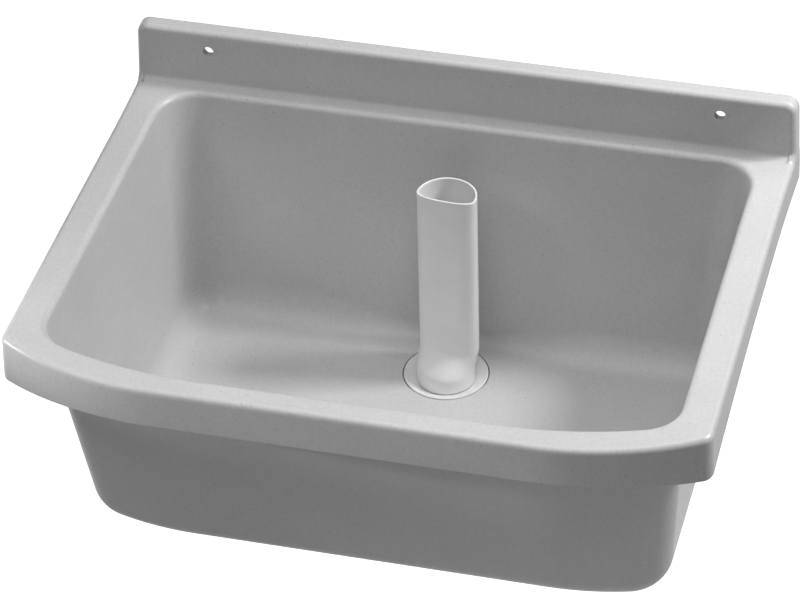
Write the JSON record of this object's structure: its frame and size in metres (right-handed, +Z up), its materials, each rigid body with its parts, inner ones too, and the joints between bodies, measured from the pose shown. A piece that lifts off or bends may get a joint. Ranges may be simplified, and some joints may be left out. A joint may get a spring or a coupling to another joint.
{
  "type": "laundry tub",
  "caption": "Wall-hung moulded laundry tub with low hollow splash-back, bowed rim with turned-down apron, deep bowl and lift-out D-section overflow standpipe in the floor waste.",
  "frame": {"origin": "on the wall plane, on the tub's centre line, at the height of the two wall bolts", "axes": "+Z up; +Y into the wall; the tub's front is at -Y; +X to the right for a person facing the tub"},
  "size_m": [0.6084, 0.4508, 0.3555],
  "materials": {
    "moulding": "satin, fine light and dark speckle",
    "waste_plastic": "satin",
    "pipe_plastic": "satin",
    "nut_plastic": "matte",
    "seal_rubber": "matte"
  },
  "bodies": {
    "tub": {"basin": "moulding", "waste_body": "waste_plastic", "flange_seal": "seal_rubber", "under_washer": "seal_rubber", "slip_washer": "nut_plastic", "backnut": "nut_plastic"},
    "seal": {"standpipe_seal": "seal_rubber"},
    "standpipe": {"standpipe": "pipe_plastic"}
  },
  "joints": [
    {"name": "standpipe_lift", "type": "slide", "parent": "tub", "child": "seal", "axis": [0, 0, 1], "range_m": [0, 0.33]},
    {"name": "standpipe_turn", "type": "hinge", "parent": "seal", "child": "standpipe", "pos_m": [0, -0.087, -0.2905], "axis": [0, 0, 1], "continuous": true}
  ]
}
